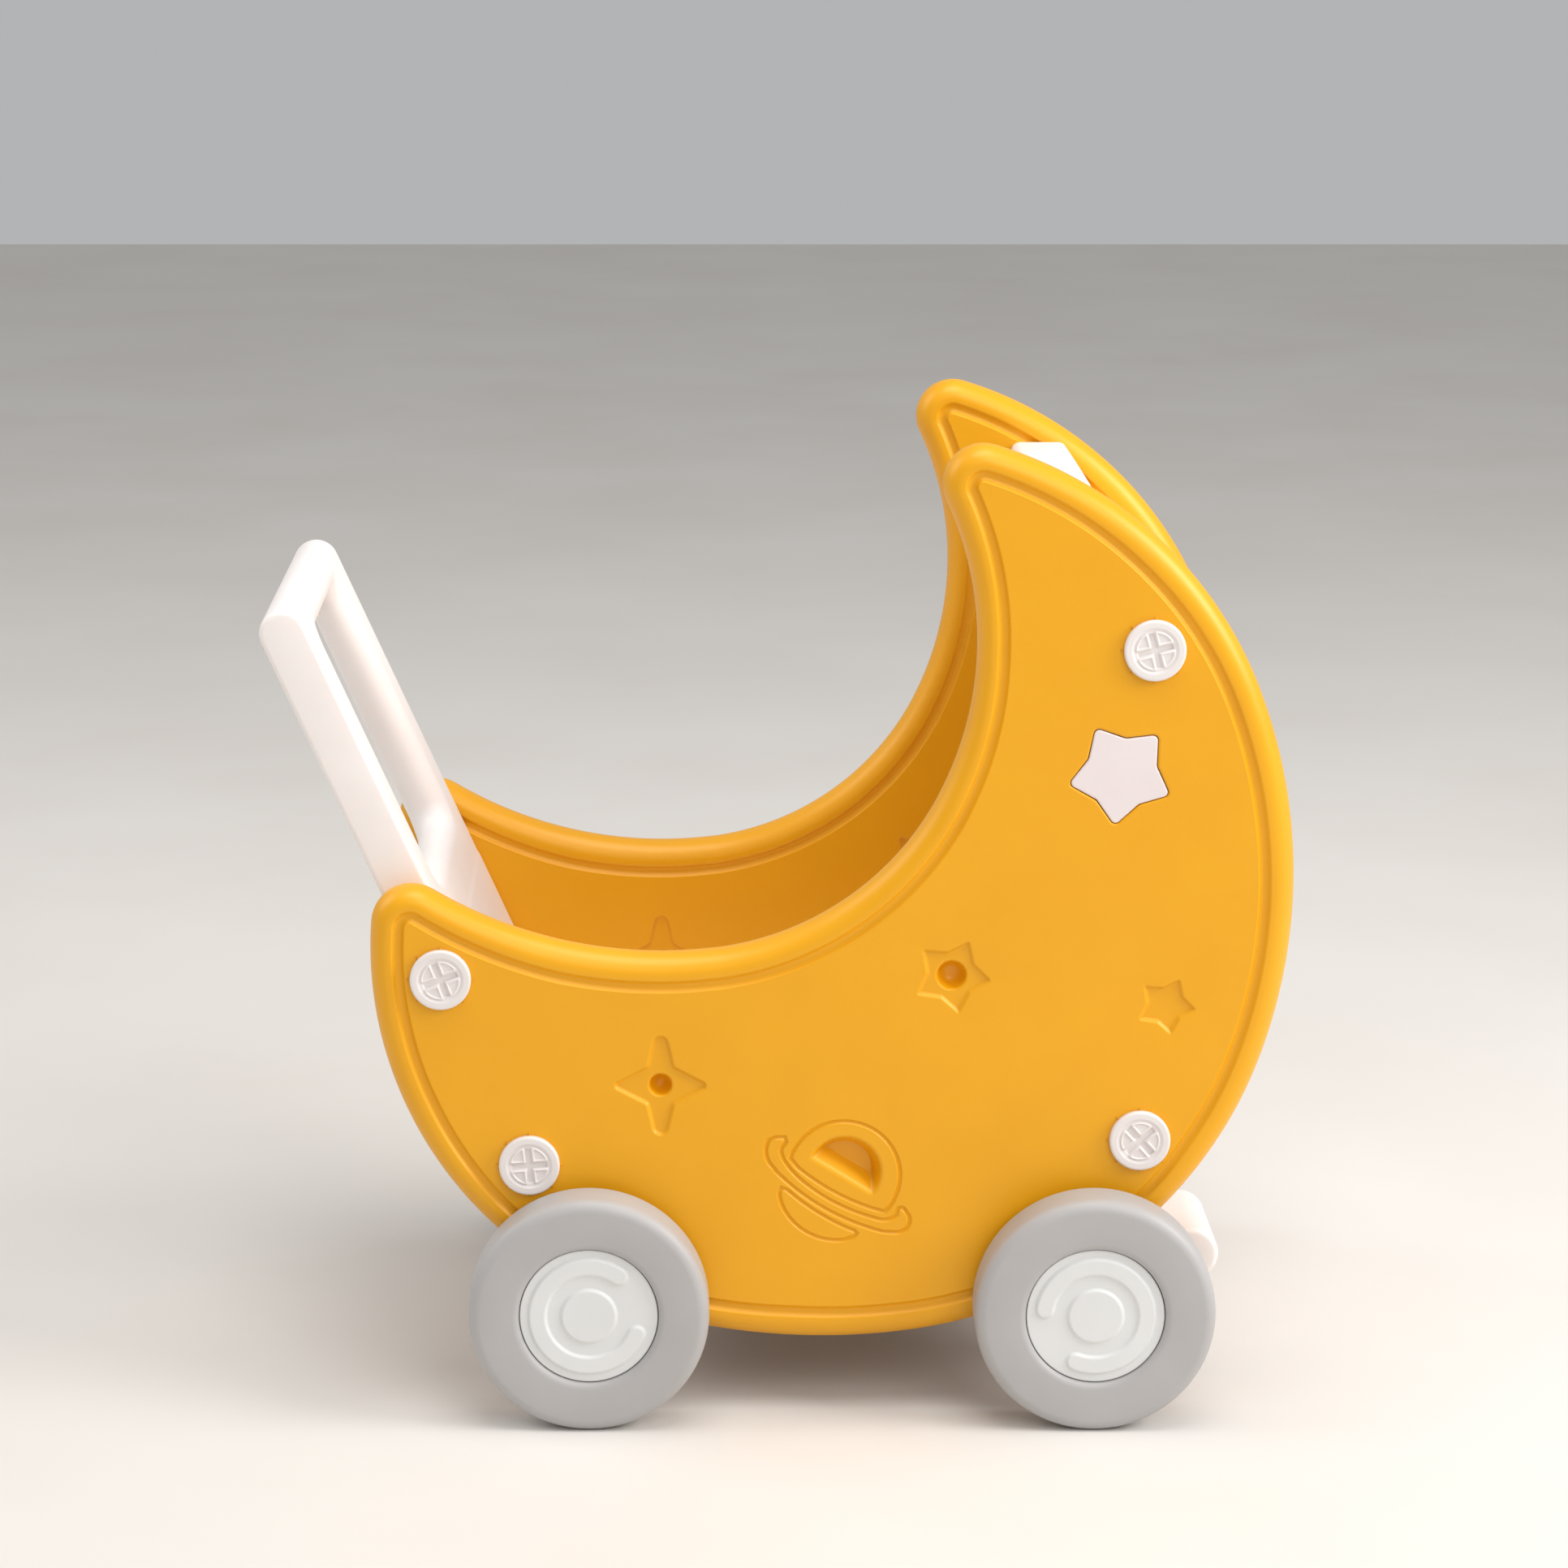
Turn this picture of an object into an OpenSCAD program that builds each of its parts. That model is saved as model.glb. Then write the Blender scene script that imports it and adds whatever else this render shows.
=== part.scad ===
// Doll stroller: two crescent side panels, bolted to a handle board and a curved
// front board, with a floor between them, rolling on two axles with four wheels.
// +X points forwards, +Y to the left side, +Z up. The wheels stand on Z = 0.

/* [Side panels] */
// Distance between the mid-planes of the two side panels
panel_spacing = 250; // [240:5:270]
// Thickness of a side panel
panel_t = 26; // [24:1:28]
// Depth of the decorative pockets in both faces of a panel
pocket_depth = 1.8; // [1:0.2:3]
// Depth of the round kiss-off dents
dent_depth = 8; // [4:1:10]

/* [Boards] */
// Thickness of the handle board
handle_t = 26; // [25:1:28]
// Lean of the handle board from the vertical, in degrees
handle_lean = 24.3; // [23:0.1:25]
// Length of the handle board from the rear axle to the middle of its grip bar
handle_len = 398; // [380:1:400]
// Width of each leg beside the grip opening
handle_leg_w = 36; // [28:1:42]
// Thickness of the curved front board
front_t = 28; // [24:1:30]
// Thickness of the floor board
floor_t = 18; // [14:1:20]

/* [Wheels] */
// Outer radius of a wheel, which is also the height of both axles
wheel_r = 65; // [60:1:65]
// Width of a wheel
wheel_w = 30; // [28:1:32]
// Radius of the hub cap
cap_r = 37.2; // [34:0.2:38]
// Radius of the steel axle rods
axle_r = 5; // [4:0.5:5]

/* [Fasteners] */
// Radius of the head of a bolt
bolt_head_r = 16.5; // [14:0.5:17]
// Height of the head above the panel
bolt_head_h = 3.8; // [3:0.2:4]
// Radius of the shank of a bolt
bolt_r = 6; // [5:0.5:6]

/* [Hidden] */
$fn = 64;

// Places in the side view, as [x, z]
rear_axle_at = [-101.1, wheel_r];
front_axle_at = [171.8, wheel_r];
bolt_at = [
    [-180.8, 244.1],  // grip bolt, under the rear tip of the crescent
    [-133.6, 140.1],  // rear bolt, above the rear wheel
    [199.6, 424.6],   // hood bolt
    [196.9, 154.2],   // front bolt, above the front wheel
];
star_plug_at = [183.2, 357.2];
big_star_at = [94.2, 245.7];
small_star_at = [209.7, 229.1];
spark_at = [-62.5, 184.3];
planet_dent_at = [37.3, 135.5];
toe_at = [227, 77.4];

// Stations along Y on the left side
panel_in = panel_spacing / 2 - panel_t / 2;
panel_out = panel_spacing / 2 + panel_t / 2;
board_end = panel_in - 0.2;
bush_flange = 3;
bush_flange_r = 13;
bush_wall = 3.4;
wheel_in = panel_out + bush_flange + 1;
hub_gap = 0.3;
hub_len = 20;
retainer_t = 2.7;
retainer_r = 9;
axle_end = wheel_in + hub_len + retainer_t + 0.8;

// ---- outline of a crescent ----
// Arcs as [x, z, radius], tangent to each other, anticlockwise seen from the right.
// A negative radius is a concave arc.
ear_r = 20;
ear_fillet = 16;
belly_front = [42.3, 272.4, 232.5];
belly_rear = [-4.9, 256.8, 214.3];

// Centre of the fillet that touches circles a and b from outside, on one side of a-b
function fillet_at(a, ra, b, rb, f, side) =
    let (
        d = norm(b - a),
        along = ((ra + f) * (ra + f) - (rb + f) * (rb + f) + d * d) / (2 * d),
        across = sqrt((ra + f) * (ra + f) - along * along),
        u = (b - a) / d
    )
    a + along * u + side * across * [-u.y, u.x];

// The lobe that carries an axle below belly arc m: the arc, fillet, lobe, fillet
function ear(m, at) =
    let (
        c = [m[0], m[1]],
        f1 = fillet_at(c, m[2], at, ear_r, ear_fillet, -1),
        f2 = fillet_at(c, m[2], at, ear_r, ear_fillet, 1)
    )
    [m, [f1.x, f1.y, -ear_fillet], [at.x, at.y, ear_r], [f2.x, f2.y, -ear_fillet]];

arcs = concat(
    ear(belly_front, front_axle_at),
    [
        belly_front,
        [-15.6, 292.8, 293.9],    // front
        [50.4, 319.1, 222.9],     // brow
        [108.3, 512.1, 21.4],     // hood tip
        [-76.6, 425.0, -183.0],   // throat
        [-52.8, 412.7, -156.3],   // back of the mouth
        [-62.0, 494.0, -238.0],   // mouth
        [-196.7, 271.7, 21.9],    // rear tip
    ],
    ear(belly_rear, rear_axle_at),
    [
        belly_rear,
        [26.0, 380.5, 341.8],     // keel
    ]
);
outline_tol = 0.25;

// Direction of the outward normal where arc a meets arc b
function joint_angle(a, b) =
    let (n = [b[0] - a[0], b[1] - a[1]] / (a[2] - b[2]))
    atan2(n.y, n.x);
// Angle from one direction round to another, anticlockwise
function angle_between(from, to) = (to - from) - 360 * floor((to - from) / 360);
function arc_sweep(a, from, to) =
    a[2] > 0 ? angle_between(from, to) : -angle_between(to, from);

// Samples of the outline as [arc, angle of the normal]
outline = [
    for (i = [0:len(arcs) - 1])
        let (
            a = arcs[i],
            from = joint_angle(arcs[(i + len(arcs) - 1) % len(arcs)], a),
            sweep = arc_sweep(a, from, joint_angle(a, arcs[(i + 1) % len(arcs)])),
            n = max(2, ceil(abs(sweep) / (2 * acos(1 - outline_tol / abs(a[2])))))
        )
        for (k = [0:n - 1]) [a, from + sweep * k / n]
];

// The outline moved inwards by d
function inset(d) = [
    for (s = outline) [s[0][0], s[0][1]] + (s[0][2] - d) * [cos(s[1]), sin(s[1])]
];

// Half of the section of the rim, as [inset, height above the mid-plane]: a half-round
// bead, then a groove, ending inside the flat core
core_inset = 19.4;
half_t = panel_t / 2;
groove_d = 1.9;
half_rim = [
    [0, 0.25 * half_t], [1.9, 0.6 * half_t], [5.6, 0.87 * half_t], [11, half_t],
    [13.4, half_t], [14.8, half_t - groove_d], [core_inset + 1, half_t - groove_d],
];
rim = concat(
    [for (i = [len(half_rim) - 1:-1:0]) [half_rim[i][0], -half_rim[i][1]]],
    half_rim
);

// Closed band round the outline, along Y
module crescent_rim() {
    n = len(outline);
    m = len(rim);
    polyhedron(
        [for (r = rim) for (p = inset(r[0])) [p.x, r[1], p.y]],
        [
            for (k = [0:m - 1])
                for (i = [0:n - 1])
                    let (j = (i + 1) % n, q = (k + 1) % m)
                    each [
                        [k * n + i, k * n + j, q * n + j],
                        [k * n + i, q * n + j, q * n + i],
                    ]
        ]
    );
}

// ---- helpers ----
// Cylinder along Y at p = [x, z]
module rod(p, y0, y1, r) {
    translate([p.x, y1, p.y]) rotate([90, 0, 0]) cylinder(r = r, h = y1 - y0);
}

// Extrudes a drawing of the side view from y0 to y1
module slab(y0, y1) {
    translate([0, y1, 0]) rotate([90, 0, 0]) linear_extrude(y1 - y0) children();
}

// Makes a left-hand piece, or its mirror image on the right
module on_side(left) {
    if (left) children();
    else mirror([0, 1, 0]) children();
}

// Turns a solid that stands on Z into one that points outwards on the left side
module outwards(at, y) {
    translate([at.x, y, at.y]) rotate([-90, 0, 0]) children();
}

function unit(a) = [cos(a), sin(a)];

// Points along an arc about c
function arc_points(c, r, a0, a1, n) = [
    for (i = [0:n]) c + r * unit(a0 + (a1 - a0) * i / n)
];

// Star with five tips, one of them at angle a
module star(r, r_in, a) {
    polygon([
        for (i = [0:9]) (i % 2 == 0 ? r : r_in) * unit(a + 36 * i)
    ]);
}

module at(p) {
    translate(p) children();
}

// ---- side panels ----
dent_r = 6;
planet_dent_r = 18;
planet_dent_turn = 58;

module decorations() {
    at(big_star_at) star(20.5, 13.2, 65);
    at(small_star_at) star(15.7, 10.1, 64.6);
    at(spark_at) polygon([
        [0, 29], [6.5, 9.6], [25, 0], [6.5, -9.6],
        [0, -29], [-6.5, -9.6], [-25, 0], [-6.5, 9.6],
    ]);
}

// Half-round dent in the middle of the planet
module planet_dent() {
    at(planet_dent_at) rotate(planet_dent_turn) intersection() {
        circle(r = planet_dent_r);
        translate([0, -planet_dent_r]) square(2 * planet_dent_r);
    }
}

star_plug_r = 28.2;
star_plug_in_r = 18.8;
star_plug_turn = 47.7;
star_plug_t = 8;
star_plug_gap = 0.4;
star_peg_r = 6;
star_peg_len = 8;

module star_plug_shape(gap) {
    at(star_plug_at) star(star_plug_r + gap, star_plug_in_r + gap, star_plug_turn);
}

module panel_core() {
    difference() {
        slab(panel_in, panel_out) polygon(inset(core_inset));
        for (p = bolt_at) rod(p, panel_in - 1, panel_out + 1, bolt_r + 0.3);
        slab(panel_out - pocket_depth, panel_out + 1) decorations();
        slab(panel_in - 1, panel_in + pocket_depth) decorations();
        for (p = [big_star_at, spark_at]) {
            rod(p, panel_out - dent_depth, panel_out + 1, dent_r);
            rod(p, panel_in - 1, panel_in + dent_depth, dent_r);
        }
        slab(panel_out - dent_depth, panel_out + 1) planet_dent();
        slab(panel_in - 1, panel_in + dent_depth) planet_dent();
        slab(panel_out - star_plug_t - 0.3, panel_out + 1) star_plug_shape(star_plug_gap);
        rod(star_plug_at, panel_out - star_plug_t - star_peg_len - 1, panel_out, star_peg_r + 0.1);
    }
}

module side_panel(left) {
    color("orange") on_side(left) difference() {
        union() {
            translate([0, panel_spacing / 2, 0]) crescent_rim();
            panel_core();
        }
        for (p = [rear_axle_at, front_axle_at])
            rod(p, panel_in - 1, panel_out + 1, axle_r + bush_wall + 0.1);
    }
}

module star_plug(left) {
    color("mistyrose") on_side(left) {
        slab(panel_out - star_plug_t, panel_out) star_plug_shape(0);
        rod(star_plug_at, panel_out - star_plug_t - star_peg_len, panel_out - 1, star_peg_r);
    }
}

// ---- boards ----
insert_r = 9;
insert_len = 32;
tab_len = 8;
tab_w = 40;
tab_t = 10;
tab_y = 45;
floor_z = 142;

// Draws in the handle board's own plane: u runs up the board from the rear axle
module on_handle() {
    translate([rear_axle_at.x, 0, rear_axle_at.y]) rotate([0, -handle_lean, 0]) children();
}

grip_low = 234;
grip_high = handle_len - handle_t / 2;
grip_corner = 12;
pad_t = 1;
pad_high = 200;
pad_low = 12;

module handle_board() {
    half = handle_t / 2;
    grip_y = board_end - handle_leg_w;
    color("seashell") difference() {
        on_handle() difference() {
            union() {
                translate([-half, -board_end, 0]) cube([handle_t, 2 * board_end, handle_len]);
                for (u = [0, handle_len]) rod([0, u], -board_end, board_end, half);
                translate([0, -board_end, pad_low])
                    cube([half + pad_t, 2 * board_end, pad_high - pad_low]);
            }
            translate([-handle_t, -grip_y, grip_low + grip_corner])
                cube([2 * handle_t, 2 * grip_y, grip_high - grip_low - 2 * grip_corner]);
            translate([-handle_t, -grip_y + grip_corner, grip_low])
                cube([2 * handle_t, 2 * (grip_y - grip_corner), grip_high - grip_low]);
            for (y = [-1, 1] * (grip_y - grip_corner))
                for (u = [grip_low + grip_corner, grip_high - grip_corner])
                    translate([-handle_t, y, u])
                        rotate([0, 90, 0]) cylinder(r = grip_corner, h = 2 * handle_t);
        }
        for (p = [bolt_at[0], bolt_at[1]]) insert_pockets(p);
        rod(rear_axle_at, -board_end - 1, board_end + 1, axle_r + 0.05);
        floor_slots();
    }
}

// Bolt hole past the end of an insert, so that the bolt never bottoms out
hole_spare = 24;

module insert_pockets(p) {
    for (s = [0, 1])
        on_side(s) rod(p, board_end - insert_len - hole_spare, board_end + 1, bolt_r + 0.3);
    for (s = [0, 1]) on_side(s) rod(p, board_end - insert_len, board_end + 1, insert_r + 0.05);
}

// The curved front board follows one arc, then drops to the front axle
front_arc_at = [-115, 292.5];
front_arc_r = 339;
front_arc_low = -29;
front_arc_high = 41;
front_top = 498.5;
foot_r = 16;
toe_r = 18;
arch_half = 42;

module front_board_side() {
    outer = front_arc_r + front_t / 2;
    inner = front_arc_r - front_t / 2;
    low = unit(front_arc_low + 1);
    intersection() {
        polygon(concat(
            arc_points(front_arc_at, outer, front_arc_low, front_arc_high, 28),
            arc_points(front_arc_at, inner, front_arc_high, front_arc_low, 28)
        ));
        square([2 * front_arc_r, front_top]);
    }
    polygon([
        front_arc_at + (outer - 0.5) * low, front_arc_at + (inner + 0.5) * low,
        front_axle_at - [foot_r - 0.5, 0], front_axle_at + [foot_r - 0.5, 0],
    ]);
    at(front_axle_at) circle(r = foot_r);
}

module toe_side() {
    u = (toe_at - front_axle_at) / norm(toe_at - front_axle_at);
    v = [-u.y, u.x];
    at(toe_at) circle(r = toe_r);
    polygon([
        front_axle_at + (foot_r - 1) * v, front_axle_at - (foot_r - 1) * v,
        toe_at - (toe_r - 0.5) * v, toe_at + (toe_r - 0.5) * v,
    ]);
}

module front_board() {
    color("seashell") difference() {
        union() {
            slab(-board_end, board_end) front_board_side();
            for (s = [0, 1]) on_side(s) slab(arch_half, board_end) toe_side();
        }
        for (p = [bolt_at[2], bolt_at[3]]) insert_pockets(p);
        rod(front_axle_at, -board_end - 1, board_end + 1, axle_r + 0.05);
        floor_slots();
    }
}

// Ends of the floor between its two boards
pad_face = (handle_t / 2 + pad_t) / cos(handle_lean);
floor_rear = rear_axle_at.x - (floor_z - wheel_r) * tan(handle_lean) + pad_face + 5;
floor_front = 168;
tab_rear = floor_rear - tab_len - 6;
tab_front = floor_front + tab_len + 8;

module floor_tabs(clear) {
    for (y = [-tab_y, tab_y])
        translate([tab_rear - clear, y - tab_w / 2 - clear, floor_z - tab_t / 2 - clear])
            cube([tab_front - tab_rear + 2 * clear, tab_w + 2 * clear, tab_t + 2 * clear]);
}

module floor_slots() {
    floor_tabs(0.2);
}

module floor_board() {
    color("seashell") union() {
        translate([floor_rear, -board_end, floor_z - floor_t / 2])
            cube([floor_front - floor_rear, 2 * board_end, floor_t]);
        floor_tabs(0);
    }
}

// ---- bolts and inserts ----
slot_w = 3.3;
slot_len = 20;
slot_depth = 1.6;
slot_turn = 18;
shank_len = 30;

module bolt(i, left) {
    color("white") on_side(left) difference() {
        union() {
            rod(bolt_at[i], panel_out, panel_out + bolt_head_h, bolt_head_r);
            rod(bolt_at[i], board_end - shank_len, panel_out + 1, bolt_r);
        }
        for (a = [slot_turn, slot_turn + 90])
            outwards(bolt_at[i], panel_out + bolt_head_h - slot_depth) rotate([0, 0, a])
                translate([-slot_len / 2, -slot_w / 2, 0]) cube([slot_len, slot_w, 2 * slot_depth]);
    }
}

module inserts(places) {
    color("white") for (p = places, s = [0, 1]) on_side(s) difference() {
        rod(p, board_end - insert_len, board_end - 0.2, insert_r);
        rod(p, board_end - insert_len - 1, board_end + 1, bolt_r + 0.05);
    }
}

// ---- axles and wheels ----
module axle(p) {
    color("silver") rod(p, -axle_end, axle_end, axle_r);
}

module bush(p, left) {
    color("gainsboro") on_side(left) difference() {
        union() {
            rod(p, panel_in + 0.2, panel_out + 0.5, axle_r + bush_wall);
            rod(p, panel_out + 0.05, panel_out + bush_flange, bush_flange_r);
        }
        rod(p, panel_in - 1, panel_out + bush_flange + 1, axle_r + 0.05);
    }
}

module retainer(p, left) {
    color("silver") on_side(left) difference() {
        rod(p, wheel_in + hub_len + hub_gap, wheel_in + hub_len + retainer_t, retainer_r);
        rod(p, wheel_in + hub_len - 1, wheel_in + hub_len + retainer_t + 1, axle_r + 0.02);
    }
}

hub_r = 17;
hub_boss_r = 11;
cap_seat = wheel_w - 6;
cap_t = 3;
cap_disc_r = 15;
lip = 1.3;
skirt_r = 30;
skirt_t = 2;
skirt_len = 10;
shoulder = 7;

module tyre(p, left) {
    color("darkgray") on_side(left) outwards(p, wheel_in) difference() {
        rotate_extrude($fn = 96) polygon(concat(
            [[hub_r + 0.05, 0]],
            arc_points([wheel_r - shoulder, shoulder], shoulder, -90, 0, 6),
            arc_points([wheel_r - shoulder, wheel_w - shoulder], shoulder, 0, 90, 6),
            [[cap_r + 0.5 + lip, wheel_w], [cap_r + 0.5, wheel_w - lip], [cap_r + 0.5, cap_seat],
             [hub_r + 0.05, cap_seat]]
        ));
        translate([0, 0, cap_seat - skirt_len - 1]) difference() {
            cylinder(r = skirt_r + skirt_t + 0.3, h = skirt_len + 2);
            translate([0, 0, -1]) cylinder(r = skirt_r - 0.3, h = skirt_len + 4);
        }
    }
}

module hub(p, left) {
    color("white") on_side(left) outwards(p, wheel_in) difference() {
        union() {
            translate([0, 0, hub_gap - 1]) cylinder(r = hub_boss_r, h = 2);
            translate([0, 0, hub_gap]) cylinder(r = hub_r, h = hub_len - hub_gap);
        }
        translate([0, 0, -2]) cylinder(r = axle_r + 0.06, h = hub_len + 4);
    }
}

ring_gap = 74;
ring_in = 23;
ring_out = 32.5;
relief = 1.4;

module hub_cap(p, left) {
    color("whitesmoke") on_side(left) outwards(p, wheel_in) union() {
        translate([0, 0, cap_seat]) cylinder(r = cap_r, h = cap_t);
        translate([0, 0, cap_seat]) cylinder(r = cap_disc_r, h = cap_t + relief);
        translate([0, 0, cap_seat + 1]) rotate_extrude(angle = 360 - ring_gap)
            translate([ring_in, 0]) square([ring_out - ring_in, cap_t + relief - 1]);
        translate([0, 0, cap_seat - skirt_len]) difference() {
            cylinder(r = skirt_r + skirt_t, h = skirt_len + 1);
            translate([0, 0, -1]) cylinder(r = skirt_r, h = skirt_len + 1);
        }
    }
}

side_panel(true);  // side_panel_left
side_panel(false);  // side_panel_right
star_plug(true);  // star_plug_left
star_plug(false);  // star_plug_right
handle_board();
front_board();
floor_board();
inserts([bolt_at[0], bolt_at[1]]);  // handle_board_inserts
inserts([bolt_at[2], bolt_at[3]]);  // front_board_inserts
bolt(0, true);  // bolt_grip_left
bolt(0, false);  // bolt_grip_right
bolt(1, true);  // bolt_rear_left
bolt(1, false);  // bolt_rear_right
bolt(2, true);  // bolt_hood_left
bolt(2, false);  // bolt_hood_right
bolt(3, true);  // bolt_front_left
bolt(3, false);  // bolt_front_right
axle(rear_axle_at);  // rear_axle
axle(front_axle_at);  // front_axle
bush(rear_axle_at, true);  // bush_rear_left
bush(rear_axle_at, false);  // bush_rear_right
bush(front_axle_at, true);  // bush_front_left
bush(front_axle_at, false);  // bush_front_right
retainer(rear_axle_at, true);  // retainer_rear_left
retainer(rear_axle_at, false);  // retainer_rear_right
retainer(front_axle_at, true);  // retainer_front_left
retainer(front_axle_at, false);  // retainer_front_right
tyre(rear_axle_at, true);  // tyre_rear_left
tyre(rear_axle_at, false);  // tyre_rear_right
tyre(front_axle_at, true);  // tyre_front_left
tyre(front_axle_at, false);  // tyre_front_right
hub(rear_axle_at, true);  // hub_rear_left
hub(rear_axle_at, false);  // hub_rear_right
hub(front_axle_at, true);  // hub_front_left
hub(front_axle_at, false);  // hub_front_right
hub_cap(rear_axle_at, true);  // hub_cap_rear_left
hub_cap(rear_axle_at, false);  // hub_cap_rear_right
hub_cap(front_axle_at, true);  // hub_cap_front_left
hub_cap(front_axle_at, false);  // hub_cap_front_right
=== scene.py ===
import math

import bmesh
import bpy
import numpy as np
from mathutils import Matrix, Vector
from mathutils.geometry import delaunay_2d_cdt


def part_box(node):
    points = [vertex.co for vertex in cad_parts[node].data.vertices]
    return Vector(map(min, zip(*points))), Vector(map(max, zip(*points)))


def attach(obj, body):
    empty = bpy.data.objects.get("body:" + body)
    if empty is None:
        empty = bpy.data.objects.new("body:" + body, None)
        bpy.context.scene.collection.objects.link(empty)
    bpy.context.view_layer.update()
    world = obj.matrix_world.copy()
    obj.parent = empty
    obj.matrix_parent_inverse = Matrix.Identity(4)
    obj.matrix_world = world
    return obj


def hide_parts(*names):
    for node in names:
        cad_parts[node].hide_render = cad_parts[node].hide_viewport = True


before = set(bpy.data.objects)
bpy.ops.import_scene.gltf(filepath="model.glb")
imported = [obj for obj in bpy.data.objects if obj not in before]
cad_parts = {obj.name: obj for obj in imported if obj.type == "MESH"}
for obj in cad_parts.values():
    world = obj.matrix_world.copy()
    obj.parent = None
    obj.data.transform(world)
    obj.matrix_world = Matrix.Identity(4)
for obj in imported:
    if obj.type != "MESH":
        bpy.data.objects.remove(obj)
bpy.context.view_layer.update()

# The pieces' sizes are in millimetres, in the frame's own axes; make_piece() turns them into
# metres. Materials, lamps and camera are in metres.
MM = 0.001


# ---- places and sizes from the frame ----
def lo_hi(node):
    """Lowest and highest corner of a CAD node, in mm."""
    lo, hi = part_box(node)
    return np.array(lo) / MM, np.array(hi) / MM


def centre_xz(node):
    """Middle of a CAD node in the side view, as [x, z] in mm."""
    lo, hi = lo_hi(node)
    return ((lo + hi) / 2)[[0, 2]]


PANEL_IN = lo_hi("side_panel_left")[0][1]
PANEL_OUT = lo_hi("side_panel_left")[1][1]
PANEL_MID = (PANEL_IN + PANEL_OUT) / 2
HALF_T = (PANEL_OUT - PANEL_IN) / 2
BOARD_END = lo_hi("handle_board")[1][1]
AXLE = {"rear": centre_xz("rear_axle"), "front": centre_xz("front_axle")}
BOLTS = ("grip", "rear", "hood", "front")
BOLT_AT = {name: centre_xz(f"bolt_{name}_right") for name in BOLTS}
BOLT_R = (lo_hi("bolt_hood_right")[1] - lo_hi("bolt_hood_right")[0])[0] / 2
WHEEL_IN, WHEEL_OUT = (p[1] for p in lo_hi("tyre_rear_left"))
WHEEL_R = (lo_hi("tyre_rear_left")[1] - lo_hi("tyre_rear_left")[0])[2] / 2
SIDES = {"left": 1, "right": -1}


# ---- loops: closed outlines in the side view ----
# A loop is a function of d that returns the outline moved inwards by d, always with the
# same number of points, so that any two of its rings can be joined by a band of quads.
def unit(angle):
    """Unit vector at an angle in radians."""
    return np.array([math.cos(angle), math.sin(angle)])


def circle(at, r, count=64):
    """Loop of a circle."""
    turn = [2 * math.pi * i / count for i in range(count)]
    return lambda d: [at + (r - d) * unit(a) for a in turn]


def fillet(corner, before, after, r, d, steps):
    """One corner of an anticlockwise outline, moved inwards by d and rounded with radius r."""
    across_a = np.array([-before[1], before[0]])
    across_b = np.array([-after[1], after[0]])
    bend = before[0] * after[1] - before[1] * after[0]
    mitre = (across_a + across_b) / (1 + before @ after)
    point = corner + d * mitre
    if r == 0 or abs(bend) < 1e-6:
        return [point]
    side = math.copysign(1, bend)
    radius = max(r - side * d, 0.05)
    centre = point + side * radius * mitre
    start = math.atan2(-side * across_a[1], -side * across_a[0])
    sweep = math.atan2(bend, before @ after)
    return [centre + radius * unit(start + sweep * i / steps) for i in range(steps + 1)]


def outline(points, steps=5):
    """Loop through anticlockwise points [x, z] or [x, z, radius of the corner]."""
    at = [np.array(p[:2], float) for p in points]
    radii = [p[2] if len(p) > 2 else 0 for p in points]
    ahead = [b - a for a, b in zip(at, at[1:] + at[:1])]
    ahead = [v / np.linalg.norm(v) for v in ahead]

    def ring(d):
        made = []
        for i, corner in enumerate(at):
            made += fillet(corner, ahead[i - 1], ahead[i], radii[i], d, steps)
        return made

    return ring


def d_shape(at, r, flat_at, angle, slope, count=18):
    """Loop of a disc cut flat at a distance flat_at from its centre. angle is the way its belly
    faces, and its flat side moves in slope times as fast as its belly."""
    def ring(d):
        half = math.degrees(math.acos((flat_at + slope * d) / (r - d)))
        belly = arc(at, r - d, angle - half, angle + half, count)
        flat = [belly[-1] + (belly[0] - belly[-1]) * k / count for k in range(1, count)]
        return belly + flat

    return ring


def arc(at, r, a0, a1, count):
    """Points along an arc, angles in degrees."""
    at = np.array(at, float)
    return [at + r * unit(math.radians(a0 + (a1 - a0) * i / count)) for i in range(count + 1)]


def star(at, tips, r, r_in, angle, round_tip=1.0, round_in=2.0):
    """Loop of a star, with one tip at an angle in degrees."""
    points = []
    for i in range(2 * tips):
        reach, corner_r = (r, round_tip) if i % 2 == 0 else (r_in, round_in)
        p = at + reach * unit(math.radians(angle + 180 * i / tips))
        points.append([p[0], p[1], corner_r])
    return outline(points)


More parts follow.
